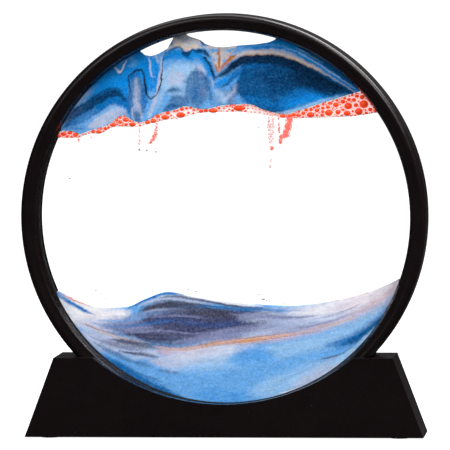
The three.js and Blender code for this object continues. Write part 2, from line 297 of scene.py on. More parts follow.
def grain_material():
    n = Nodes("falling_grain")
    paint = n.add("Attribute", attribute_name="paint")
    mix = n.add("VectorMath", operation="SCALE")
    n.link(paint.outputs["Color"], mix.inputs[0])
    n.link(n.spread(n.noise(2400, 2), 0.85, 1.15), mix.inputs["Scale"])
    n.drive("Base Color", mix.outputs["Vector"])
    # Emission in the grains' own colour: painted glow that makes them brighter than the lamps light
    # them.
    n.drive("Emission Color", mix.outputs["Vector"])
    n.fix("Emission Strength", 0.25)
    n.fix("Roughness", 0.8)
    n.bump(n.noise(5200, 2), 0.3, 0.00005)
    return n.material


# Satin black moulded plastic with a fine spark texture and faint flow marks.
PLASTIC = matter("black_plastic", (38, 4), (13, 7, 8), (17, 9, 10), (160, 5, 0.6), (0.24, 0.32),
                 (4200, 2), (0.04, 0.00003), fixed={"Specular IOR Level": 0.32})
SILICONE = matter("black_silicone", (300, 4), (16, 15, 16), (28, 27, 28), (900, 3), (0.5, 0.68),
                  (2600, 3), (0.2, 0.00005))
FOAM = foot_foam()
GLASS = see_through("clear_glass", 0.008, (0.997, 1.0, 0.999), (0.01, 0.06))
LIQUID = see_through("clear_liquid", 0, (0.99, 0.99, 0.99), None)
SAND, GRAIN = sand_material(), grain_material()
# The bubbles glow a little in orange-red: painted light that brightens them and flattens their shading.
BUBBLE = matter("bubble_skin", (210, 3), (255, 62, 24), (255, 92, 42), (1500, 2), (0.12, 0.25),
                (900, 2), (0.1, 0.00005),
                fixed={"Emission Color": (1, 0.07, 0.012, 1), "Emission Strength": 0.24})
# The film glows a little in pale pink: painted light that keeps it white where it lies in shade.
FILM = matter("bubble_film", (700, 4), (255, 236, 230), (255, 255, 255), (1500, 2), (0.3, 0.5),
              (1400, 3), (0.3, 0.0001), ends=(0.3, 0.5),
              fixed={"Emission Color": (1, 0.94, 0.93, 1), "Emission Strength": 0.28})


# ---------------- mesh helpers
def mesh_piece(name, points, faces, material):
    """An object from points in millimetres about the disc's centre."""
    mesh = bpy.data.meshes.new(name)
    placed = np.asarray(points, float) * MM + (0, 0, AXIS_Z * MM)
    mesh.from_pydata(placed.tolist(), [], [tuple(int(i) for i in face) for face in faces])
    mesh.validate()
    mesh.update()
    mesh.polygons.foreach_set("use_smooth", [True] * len(mesh.polygons))
    mesh.materials.append(material)
    piece = bpy.data.objects.new(name, mesh)
    scene.collection.objects.link(piece)
    return piece


def fitted(piece, body, slot, *nodes):
    """Hands a piece to the frame: its body and the CAD nodes that it stands for. slot is not used."""
    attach(piece, body)
    if nodes:
        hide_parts(*nodes)


def arc(centre, radius, start, end, steps):
    """Points of a circular arc in a section, angles in degrees."""
    angles = np.radians(np.linspace(start, end, steps + 1))
    return [(centre[0] + radius * math.cos(a), centre[1] + radius * math.sin(a)) for a in angles]


ON_AXIS = 1e-6
SHARP_ANGLE = 32


def ring_mesh(profile, steps, closed=True):
    """Points and faces of a section (r, y) turned about the disc's axis. Open ones end on the axis."""
    turn = np.linspace(0, 2 * math.pi, steps, endpoint=False)
    points, rows = [], []
    for r, y in profile:
        if r < ON_AXIS:
            rows.append([len(points)] * steps)
            points.append((0, y, 0))
            continue
        rows.append(list(range(len(points), len(points) + steps)))
        points += [(r * math.sin(t), y, r * math.cos(t)) for t in turn]
    faces = []
    for low, high in zip(rows, rows[1:] + rows[:1] if closed else rows[1:]):
        for i in range(steps):
            j = (i + 1) % steps
            faces.append(list(dict.fromkeys([low[i], low[j], high[j], high[i]])))
    return points, [face for face in faces if len(face) > 2]


def settle_normals(piece, angle=SHARP_ANGLE):
    """Faces out, smooth except over edges sharper than the angle."""
    bm = bmesh.new()
    bm.from_mesh(piece.data)
    bmesh.ops.recalc_face_normals(bm, faces=bm.faces)
    bm.to_mesh(piece.data)
    bm.free()
    piece.data.polygons.foreach_set("use_smooth", [True] * len(piece.data.polygons))
    piece.data.set_sharp_from_angle(angle=math.radians(angle))
    return piece


def applied(piece, kind, **settings):
    """Adds a modifier to the piece and applies it."""
    modifier = piece.modifiers.new(kind.lower(), kind)
    for key, value in settings.items():
        setattr(modifier, key, value)
    with bpy.context.temp_override(object=piece, active_object=piece, selected_objects=[piece]):
        bpy.ops.object.modifier_apply(modifier=modifier.name)


def cut(piece, tool):
    """Takes the tool's room out of the piece and throws the tool away."""
    applied(piece, "BOOLEAN", operation="DIFFERENCE", solver="EXACT", object=tool)
    bpy.data.objects.remove(tool)


# ---------------- frame, panes and seals
FRAME_R, FRAME_HALF = 92.5, 10.5
LIP_R, LIP_INNER, POCKET_R = 84.9, 6.0, 89.4
PANE_R, PANE_NEAR, PANE_FAR = 88.9, 2.0, 4.8
TURN_STEPS = 288
SEAL_R = 88.7
PLUG_HEAD_R, PLUG_STEM_R, PLUG_ROOM, PLUG_FOOT = 2.0, 1.0, 0.3, 85.2
PLUG_DIRECTION = Vector((math.cos(math.radians(142.5)), 0, math.sin(math.radians(142.5))))


def frame_section():
    """The rear half in r and y: seam, rounded rim, soft step, lip, slope to the pane, pocket."""
    outer, inner = 2.6, 0.8
    return [
        (FRAME_R - 0.4, 0.01),
        (FRAME_R - 0.36, 0.12),
        (FRAME_R - 0.06, 0.3),
        (FRAME_R, 0.6),
        (FRAME_R, 4.5),
        *arc((FRAME_R - outer, FRAME_HALF - outer), outer, 0, 90, 14),
        (88.9, FRAME_HALF),
        (88.65, FRAME_HALF - 0.12),
        (88.4, FRAME_HALF - 0.15),
        *arc((86.6, FRAME_HALF - 0.2 - inner), inner, 88, 165, 8),
        (LIP_R + 0.12, LIP_INNER + 0.5),
        *arc((LIP_R + 0.3, LIP_INNER + 0.3), 0.3, 180, 270, 3),
        (POCKET_R, LIP_INNER),
        (POCKET_R, 0.01),
    ]


def radial_bar(radius, start, end):
    """A round bar along the plug's direction, as a cutting tool."""
    bpy.ops.mesh.primitive_cylinder_add(vertices=40, radius=radius * MM, depth=(end - start) * MM)
    tool = bpy.context.object
    tool.rotation_mode = "QUATERNION"
    tool.rotation_quaternion = PLUG_DIRECTION.to_track_quat("Z", "Y")
    tool.location = PLUG_DIRECTION * (start + end) / 2 * MM + Vector((0, 0, AXIS_Z * MM))
    bpy.context.view_layer.update()
    return tool


def make_frame():
    for name, side in (("frame_front", -1), ("frame_rear", 1)):
        section = [(r, side * y) for r, y in frame_section()]
        half = mesh_piece(name, *ring_mesh(section, TURN_STEPS), PLASTIC)
        settle_normals(half)
        cut(half, radial_bar(PLUG_HEAD_R + PLUG_ROOM, POCKET_R - 1, FRAME_R + 1))
        half.data.set_sharp_from_angle(angle=math.radians(SHARP_ANGLE))
        fitted(half, "disc", "black_plastic", f"{name}_ring")


def make_panes():
    bevel = 0.25
    for name, side in (("front_pane", -1), ("rear_pane", 1)):
        section = [(0, side * PANE_NEAR), (PANE_R - bevel, side * PANE_NEAR),
                   (PANE_R, side * (PANE_NEAR + bevel)), (PANE_R, side * (PANE_FAR - bevel)),
                   (PANE_R - bevel, side * PANE_FAR), (0, side * PANE_FAR)]
        pane = mesh_piece(name, *ring_mesh(section, TURN_STEPS, closed=False), GLASS)
        settle_normals(pane)
        fitted(pane, "disc", "clear_glass", name.replace("pane", "glass"))


def flat_ring(inner, outer, low, high, ease=0.2):
    corners = ((outer - ease, low + ease, -90, 0), (outer - ease, high - ease, 0, 90),
               (inner + ease, high - ease, 90, 180), (inner + ease, low + ease, 180, 270))
    return [p for r, y, start, end in corners for p in arc((r, y), ease, start, end, 3)]


def make_seals():
    beads = {"front_bedding_bead": (-5.7, -5.1), "rear_bedding_bead": (5.1, 5.7)}
    for node, (low, high) in beads.items():
        bead = mesh_piece(node.replace("_bead", "_strip"),
                          *ring_mesh(flat_ring(85.6, SEAL_R, low, high), TURN_STEPS // 2), SILICONE)
        fitted(settle_normals(bead, 60), "disc", "black_silicone", node)
    section = flat_ring(LIP_R, SEAL_R, -1.9, 1.9, 0.15)
    seal = mesh_piece("cell_seal", *ring_mesh(section, TURN_STEPS), SILICONE)
    settle_normals(seal, 60)
    cut(seal, radial_bar(PLUG_STEM_R + PLUG_ROOM, LIP_R - 1, FRAME_R))
    fitted(seal, "disc", "black_silicone", "spacer_seal")


def make_plug():
    section = [(0, 0), *arc((0.75, 0.25), 0.25, -90, 0, 3), (PLUG_STEM_R, 4.5), (1.85, 4.5),
               *arc((1.85, 4.65), 0.15, -90, 0, 3), *arc((1.75, 6.95), 0.25, 0, 90, 4),
               *arc((0.95, 6.95), 0.25, 90, 180, 4), (0.62, 6.6), (0, 6.5)]
    points, faces = ring_mesh(section, 48, closed=False)
    turn = Vector((0, 1, 0)).rotation_difference(PLUG_DIRECTION)
    moved = [tuple(turn @ Vector(p) + PLUG_DIRECTION * PLUG_FOOT) for p in points]
    plug = mesh_piece("plug", moved, faces, SILICONE)
    fitted(settle_normals(plug, 40), "disc", "black_silicone", "fill_plug")


make_frame()
make_panes()
make_seals()
make_plug()


# ---------------- stand
BASE_DEPTH, BASE_BOTTOM, BASE_TOP = 30.0, 0.5, 36.7
FOOT_HALF_WIDTH, TOP_HALF_WIDTH = 91.2, 77.4
GROOVE_R, GROOVE_HALF = 92.9, 11.0
WINDOW_R, WINDOW_Z = 93.7, 109.3
SHELL, RIB, RIB_PITCH = 2.5, 1.6, 17.0
FOOT_R, FOOT_THICK, FOOT_X, FOOT_Y = 5.0, 1.2, 80.0, 8.0
FOOT_PLACES = [(x, y) for x in (-FOOT_X, FOOT_X) for y in (-FOOT_Y, FOOT_Y)]
EDGE_ROUND, EDGE_STEPS, EDGE_ANGLE = 0.8, 4, 28
SLICE = 6.1


def prism(name, outline, half):
    """An outline in x and z, measured from the floor, as a solid that reaches half to both sides."""
    count = len(outline)
    points = [(x, y, z - AXIS_Z) for y in (-half, half) for x, z in outline]
    sides = [(i, (i + 1) % count, count + (i + 1) % count, count + i) for i in range(count)]
    faces = [tuple(range(count)), tuple(range(2 * count - 1, count - 1, -1)), *sides]
    return settle_normals(mesh_piece(name, points, faces, PLASTIC))


def bar_tool(radius, centre_z, half):
    return prism("bar_tool", arc((0, centre_z), radius, 0, 360, 360)[:-1], half)


def box_tool(x0, x1, y0, y1, z0, z1):
    points = [(x, y, z - AXIS_Z) for x in (x0, x1) for y in (y0, y1) for z in (z0, z1)]
    faces = [(0, 1, 3, 2), (4, 6, 7, 5), (0, 4, 5, 1), (2, 3, 7, 6), (0, 2, 6, 4), (1, 5, 7, 3)]
    return settle_normals(mesh_piece("box_tool", points, faces, PLASTIC))


def post_tool(radius, low, high, x, y):
    bpy.ops.mesh.primitive_cylinder_add(vertices=64, radius=radius * MM, depth=(high - low) * MM,
                                        location=(x * MM, y * MM, (low + high) / 2 * MM))
    return bpy.context.object


def trapezoid(low, high, inset=0.0):
    """The stand's outline from one height to another, each side moved in by the inset."""
    slope = (FOOT_HALF_WIDTH - TOP_HALF_WIDTH) / BASE_TOP
    wide, narrow = (FOOT_HALF_WIDTH - slope * z - inset * math.hypot(1, slope) for z in (low, high))
    return [(-wide, low), (wide, low), (narrow, high), (-narrow, high)]


def underside_room():
    """The hollow under the stand, between its ribs and foot posts."""
    room = prism("room", trapezoid(-2, BASE_TOP - SHELL, SHELL), BASE_DEPTH / 2 - SHELL - 0.5)
    cut(room, bar_tool(GROOVE_R + SHELL, AXIS_Z, BASE_DEPTH))
    cut(room, box_tool(-FRAME_R, FRAME_R, -RIB / 2, RIB / 2, -5, BASE_TOP))
    ribs = int(TOP_HALF_WIDTH // RIB_PITCH)
    for i in range(-ribs, ribs + 1):
        x = i * RIB_PITCH
        cut(room, box_tool(x - RIB / 2, x + RIB / 2, -BASE_DEPTH, BASE_DEPTH, -5, BASE_TOP))
    for x, y in FOOT_PLACES:
        cut(room, post_tool(FOOT_R + 1.4, -5, BASE_TOP, x, y))
    return room


def shown_edges_rounded(stand):
    """Rounds the stand's sharp outer edges, and leaves the ribs inside it as they are."""
    bm = bmesh.new()
    bm.from_mesh(stand.data)
    weight = bm.edges.layers.float.new("bevel_weight_edge")
    for edge in bm.edges:
        depths = [abs(v.co.y) / MM for v in edge.verts]
        shown = all(y > BASE_DEPTH / 2 - 0.1 or abs(y - GROOVE_HALF) < 0.01 for y in depths)
        if shown and edge.calc_face_angle(0) > math.radians(EDGE_ANGLE):
            edge[weight] = 1.0
    bm.to_mesh(stand.data)
    bm.free()
    applied(stand, "BEVEL", width=EDGE_ROUND * MM, segments=EDGE_STEPS, limit_method="WEIGHT")


def sliced(piece):
    """Cuts the piece's large faces at regular x, so that none of them is a long hollow curve."""
    bm = bmesh.new()
    bm.from_mesh(piece.data)
    for i in range(int(-FOOT_HALF_WIDTH // SLICE), int(FOOT_HALF_WIDTH // SLICE) + 1):
        geometry = [*bm.verts, *bm.edges, *bm.faces]
        bmesh.ops.bisect_plane(bm, geom=geometry, dist=1e-7, plane_no=(1, 0, 0),
                               plane_co=((i + 0.5) * SLICE * MM, 0, 0))
    bm.to_mesh(piece.data)
    bm.free()


def make_stand():
    stand = prism("stand", trapezoid(BASE_BOTTOM, BASE_TOP), BASE_DEPTH / 2)
    cut(stand, bar_tool(GROOVE_R, AXIS_Z, GROOVE_HALF))
    cut(stand, bar_tool(WINDOW_R, WINDOW_Z, BASE_DEPTH))
    cut(stand, underside_room())
    for x, y in FOOT_PLACES:
        cut(stand, post_tool(FOOT_R + 0.3, -1, FOOT_THICK + 0.3, x, y))
    sliced(stand)
    shown_edges_rounded(stand)
    settle_normals(stand, 30)
    applied(stand, "WEIGHTED_NORMAL", keep_sharp=True)
    fitted(stand, "base", "black_plastic", "base_shell")


def make_feet():
    for x, y in FOOT_PLACES:
        node = f"foot_{'left' if x < 0 else 'right'}_{'front' if y < 0 else 'rear'}"
        section = [(0, 0), *arc((FOOT_R - 0.25, 0.25), 0.25, -90, 0, 3),
                   *arc((FOOT_R - 0.1, FOOT_THICK - 0.1), 0.1, 0, 90, 2), (0, FOOT_THICK)]
        points, faces = ring_mesh(section, 48, closed=False)
        moved = [(px + x, pz + y, py - AXIS_Z) for px, py, pz in points]
        foot = mesh_piece(node.replace("foot", "foot_pad"), moved, faces, FOAM)
        fitted(settle_normals(foot, 50), "base", "foot_foam", node)


make_stand()
make_feet()


# ---------------- noise and lines for the sand
def lattice_noise(u, v, seed):
    """Smooth value noise, 0 to 1, one cell to a unit."""
    cells = np.random.RandomState(seed).rand(256, 256)
    iu, iv = np.floor(u).astype(int), np.floor(v).astype(int)
    fu, fv = u - iu, v - iv
    fu, fv = fu * fu * (3 - 2 * fu), fv * fv * (3 - 2 * fv)
    a, b = cells[iu & 255, iv & 255], cells[(iu + 1) & 255, iv & 255]
    c, d = cells[iu & 255, (iv + 1) & 255], cells[(iu + 1) & 255, (iv + 1) & 255]
    return (a * (1 - fu) + b * fu) * (1 - fv) + (c * (1 - fu) + d * fu) * fv


def cloudy(u, v, seed, octaves=3):
    """Layered noise about 0, from -0.5 to 0.5."""
    total = sum(lattice_noise(u * 2 ** i, v * 2 ** i, seed + i) / 2 ** i for i in range(octaves))
    return total / sum(1 / 2 ** i for i in range(octaves)) - 0.5


LINE_STEP = 0.8


def smooth_line(points, step=LINE_STEP):
    """A Catmull-Rom curve through the points, as points about one step apart."""
    p = np.asarray(points, float)
    p = np.vstack([2 * p[0] - p[1], p, 2 * p[-1] - p[-2]])
    out = []
    for a, b, c, d in zip(p, p[1:], p[2:], p[3:]):
        count = max(2, int(np.linalg.norm(c - b) / step))
        t = (np.arange(count) / count)[:, None]
        out.append(0.5 * (2 * b + (c - a) * t + (2 * a - 5 * b + 4 * c - d) * t ** 2
                          + (3 * b - 3 * c + d - a) * t ** 3))
    return np.vstack([*out, p[-2:-1]])


def line_distance(x, z, line):
    """Distance of each place to a line, and how far along the line it is, 0 to 1."""
    best, along = np.full(x.shape, 1e9), np.zeros(x.shape)
    for i, (a, b) in enumerate(zip(line, line[1:])):
        d = b - a
        t = np.clip(((x - a[0]) * d[0] + (z - a[1]) * d[1]) / max(d @ d, 1e-9), 0, 1)
        gap = np.hypot(x - a[0] - t * d[0], z - a[1] - t * d[1])
        nearer = gap < best
        best[nearer], along[nearer] = gap[nearer], (i + t[nearer]) / (len(line) - 1)
    return best, along


def eased(value):
    value = np.clip(value, 0, 1)
    return value * value * (3 - 2 * value)


def dyes(text):
    """Linear colours by name, from names with the three numbers that srgb takes."""
    return {name: srgb(*map(int, rgb)) for name, *rgb in map(str.split, text.split(","))}


DYE = dyes("""
navy 6 42 76, deep 10 78 134, royal 16 108 182, bright 14 140 226, sky 108 172 234,
azure 46 124 196, indigo 52 80 142, ice 158 200 240, lavender 190 200 230, white 246 243 252,
slate 74 120 172, violet 70 74 108, smoke 74 76 98, mauve 136 142 182, grey 166 168 182,
ink 26 34 60, peach 218 184 156, shell 212 202 202, pearl 236 234 242, stone 206 200 204,
cream 250 224 202, copper 232 170 122, gold 190 106 22, rose 214 182 196, rust 222 140 118
""")


def rows_of(text):
    """Rows of a text like "name number number number: x,z x,z ...". Two spaces continue a row."""
    rows = []
    for line in text.strip().replace("\n  ", " ").splitlines():
        if not line.startswith("#"):
            head, line_points = line.split(":")
            name, *numbers = head.split()
            points = [tuple(float(v) for v in pair.split(",")) for pair in line_points.split()]
            rows.append((name, *(float(v) for v in numbers), points))
    return rows


# Strokes of dyed sand: colour, width, edge softness, strength, then the line it follows, in mm about
# the disc's centre. Later strokes lie over earlier ones.
# a lighter sky patch: painted light against the shade near the rim
# grey peak and its peach hem, painted lighter than their sand: painted light against the ring's shadow
UPPER_STROKES = rows_of("""
# left drift
bright 40 4 1: -66,60 -48,66 -34,70
sky 1.6 1.6 0.55: -52,68.6 -45,71.4 -40,74
royal 6 4 0.7: -60,60 -50,66 -46,69.4
sky 3 3 0.5: -42.6,69 -39.6,71
sky 3.2 2.4 0.6: -72,47 -65,54 -57,60
lavender 1.4 1.6 0.5: -69,50 -64,55 -60,58
bright 5 2.4 0.8: -60,57 -52,62 -45,61 -43.5,57
white 0.7 0.8 0.8: -49.8,68.5 -47.2,66.2 -45.6,68.6 -44.1,71.3
deep 2.2 1.5 0.5: -73,42.5 -70,45 -66,48.5
mauve 3.4 2.2 0.85: -75,42.4 -70,46.2 -64,49
royal 4.2 2 0.9: -73.5,40.8 -64.6,45.6 -56.9,49.8 -51.3,52.6 -46,52 -43.5,49
deep 4.6 1.8 0.95: -73,43.6 -67.2,47.8 -62,50.9 -56.9,54.3 -51.8,56.7 -48.2,56.5 -44.4,53
navy 2.6 1.6 0.7: -66,48.4 -62,50.7 -56.9,53.9 -52,56.2 -48.4,56.2 -45,53.6
deep 1.5 0.9 0.7: -48,56.4 -45.6,54.2 -43.6,53.2 -42.4,54.6
ice 5.5 2.6 0.9: -60,42.5 -55,45.2 -50,48.6 -46.4,49.4
lavender 5 2.6 0.95: -62,41 -56,43.8 -50,46.6 -46.6,47.6 -43.8,46
sky 1 1 0.5: -66,40 -60,44.5 -54,48.4 -48,50.6
royal 1.4 1.2 0.5: -71,40.6 -66,40.4 -63,40.8
# column under the black arch
slate 8 2 0.9: -40,65 -39.6,58 -39.6,50 -39.4,44
royal 3 1.6 0.8: -42.6,63 -40,65.4 -37.4,66
royal 1.6 1.2 0.75: -43.6,57 -44,52 -42.6,48 -41.8,44
royal 1.8 1.2 0.75: -36.6,61 -36.2,55 -35.2,50 -34.8,46
lavender 2 2.8 0.85: -39.8,63 -39.8,57 -39.6,51 -39.4,47
lavender 1 1.1 0.8: -40.2,52.6 -41.6,48 -41.4,43.6
lavender 1 1.1 0.8: -39.2,52.6 -37.8,48 -37.4,44
slate 1.8 1 0.8: -39.6,49 -39.4,46 -39.2,42.6
# bright pocket between the black line's arms
bright 7 2 1: -33,73 -32.6,65 -33,58
bright 2.2 1.2 0.9: -31.2,72 -30.2,64 -31.4,57
white 0.55 0.5 0.8: -33.8,73.4 -33.2,69 -32.8,65 -32,63.9 -30.8,63.7
lavender 0.9 0.8 0.6: -31.6,73.6 -30.2,72 -29.6,69.6
sky 3.4 1.8 0.85: -34.6,51.4 -33.8,48.4 -34.4,45.4
ice 2.2 1.2 0.7: -31.6,52 -33.2,48 -34.6,44.8
# ice field under the grey peak
ice 19 3 1: -19,71 -19,62 -20,54
bright 4.6 1.8 0.95: -27.4,71.2 -23,74 -17,73.2 -12,74 -8.2,71
bright 3.2 1.6 0.9: -9.4,73 -7.2,68.6 -5.4,64.4 -4.6,60
lavender 8 4 0.85: -23,65.6 -20,60.4
lavender 3.6 2.4 0.8: -13,69 -10.4,66.6 -8.4,64
sky 3 2.4 0.6: -27,68 -22,70.6 -15,70.4
slate 2.4 2.6 0.75: -26.4,57 -22.6,58 -18.6,57.4
deep 0.9 0.9 0.55: -25.4,57.6 -22.6,58.4 -19.8,57.8
lavender 1.5 1 0.95: -27.8,73 -28.4,66 -29.4,60.6 -30.8,54.4 -32.4,49.4 -34,45.4
ice 2 1.4 0.8: -27,60 -28.8,54 -30.6,48.8
slate 11 4.4 0.9: -12.6,66.6 -12,61.6 -12.2,56 -12,50
royal 7 5 0.4: -12,60 -11,53
slate 6 2.4 0.85: -24.6,52 -20,52.6 -16,52
deep 2.6 1.8 0.6: -27.4,48.4 -24,50.4 -20,51
deep 1.7 1.3 0.6: -14,66 -10,65.8 -7.4,61.8 -5.8,56 -5.6,51
mauve 3.2 2.4 0.45: -9.4,59 -8.8,54.4
lavender 1.3 1 0.9: -6.2,63.4 -4.2,59.6 -3,55.6 -2.6,52.4
# dome under the vein
deep 34 4 1: 6,58 24,62 44,58 60,54
navy 10 6 0.5: 16,64 28,62 42,61
bright 4.4 2.2 0.9: -4.4,58.8 0,60.8 4.6,63.4 8,66
sky 1.8 1.8 0.55: -3.4,57.2 1,59.4 4.4,61.6 7,64
royal 2 1.6 0.8: 2.4,62 6,66 10,68.6 15,69.4 21,69
deep 1.2 0.9 0.7: -2,58.6 2,60.8 5.4,63.6 9,66.4 14,67.2
slate 8 6 0.8: -1,57.4 1.4,53.6 5,51
ice 4.5 4 0.8: -1.8,57 -0.2,54 0.6,51.4
lavender 1.8 2.4 0.65: -0.6,52.6 2.8,55.4 5.2,57.6 5.8,60
mauve 1.6 2 0.6: 4.6,58 4.6,54.2 3.2,51
royal 5 3 0.75: 8,54 16,52.6 24,50.4
deep 3 2.5 0.6: 8,61 12,57 20,54
royal 6.5 3.4 0.9: 22,49.6 31,53.2 38,56 45,54.6 54,55
bright 4.6 3 0.8: 27,48.4 34,52 41,53.6 50,54
sky 2 2 0.75: 28,47 34,49.2 42,51.4 50,53.6 56,55.6
ice 1.2 1.2 0.8: 22,47 28,47.2 34.7,48.9 43.8,51.9 53,54.7
navy 5.2 2.2 1: -3,63.6 1,65.4 5,69 9.6,71.6 15,72 22,71.8 30,70 38,66 46.6,61.4 54,58.4
navy 6.5 3.5 0.85: 30,65 38,61.6 46,58.4 54,57
ink 1.2 0.9 0.55: -2.8,64.4 2,67.4 7,70.8 14,72.8 22.6,73.2 30,72 38,68.4
navy 1.4 0.9 0.9: -9,73 -6.6,70.4 -4.9,66 -3.8,62.6
# crown between vein and rim
bright 12 2.4 1: 6,79 22,80.6 38,77 52,67.6 64,56
sky 0.9 1 0.5: 6,77.2 14,77.8 24,78.2 31,76.4
deep 3.2 1.8 0.85: 34,77.6 44,72 54,64.8 62,57.6
ice 0.7 0.6 0.8: 27,77 33,75 38.4,72.4 46.7,67.2 55,61.6 60,58
ice 0.5 0.5 0.6: 33,76.6 39,73.8 46,69.6
royal 1.2 1 0.6: 4,78.4 14,79.2 24,80.4
# vein and wedge
lavender 2.2 0.9 0.55: 2,71.4 7.2,74.4 14,75.2 23.2,75.4 30,74 37,71.2
shell 1.7 0.9 0.85: 2,70.9 7.2,73.8 14,74.7 23.2,74.8 30,73.1 37,70.2 43.8,66.6 50,62.8
peach 0.6 0.7 0.6: 2,70.2 7.2,72.9 14,73.8 23.2,73.9 30,72.2 37,69.4 43.8,65.8
shell 0.5 0.6 0.6: 40,69.2 47,64.9 54,60.4 60.4,56.4
grey 0.5 0.6 0.6: 38,70.4 46,65.6 54,60.2 60,56.4
ink 0.5 0.5 0.45: 36,69.8 44,65.4 52,60.2 58,56.2
stone 13 1 1: -0.4,80 -0.3,76
stone 8.4 0.8 1: -0.8,75.6 -1,71.4
stone 4.2 0.6 1: -1.6,71.4 -2.1,68
stone 1.8 0.6 1: -2.1,68.4 -2.5,65.6
peach 1.2 1 0.55: -6,76.4 -4.6,71.6 -2.8,66.6
gold 1.1 0.7 0.9: -1.8,77 -1.7,72 -2.3,66.8
gold 1.7 1 0.9: 6,74 3,71.4 0,68.6 -2.4,65.8
gold 0.9 0.8 0.8: -3.7,69.6 -3.1,67.6 -2.4,65.6
peach 1 0.8 0.8: 5.6,76.2 2.8,73.8 0.6,71.6
# grey peak with its peach hem
pearl 9 1.4 1: -23,81.6 -17,81 -10.6,78.8
slate 2.2 2 0.4: -21,82 -18,80.6 -15.4,81.4
cream 1.5 0.8 0.85: -25.6,76.4 -21.1,78.4 -18.2,77.8 -16.4,76 -13.2,77.8 -8.4,77
deep 2.2 1.2 0.9: -18.4,75.6 -16.9,73.9 -15.2,75
deep 1.8 0.9 0.9: -13.6,75.6 -10.8,75.5 -8.2,74.6 -6.4,72.4
navy 0.7 0.5 0.95: -26.6,74.6 -23.2,76.4 -19.6,77.2 -17.8,75.2 -16,74.2 -13.4,76 -8.4,75.5 -6.8,72.8
ink 0.55 0.5 0.8: -16,82.7 -11,80.5 -8.2,78.2 -5.4,78 -1,76.9 2,77.2
white 1.6 1.2 0.6: -8.2,77.4 -6.6,76.2
deep 0.5 0.5 0.7: 7,77.9 16.3,78.6 22,80.2
# the black line
ink 0.7 0.5 0.95: -45.6,53.6 -43.6,54.4 -43,57 -43.2,61 -43.4,64.1 -41.5,65.7 -38.5,67 -36.9,67.4
  -36.1,64.9 -35.9,61.9 -35.1,56.2 -33.2,53.8 -31,55.1 -29.5,58.5 -28.3,62.3 -27.8,67.9 -27,72.4
  -26.4,74.8
""")
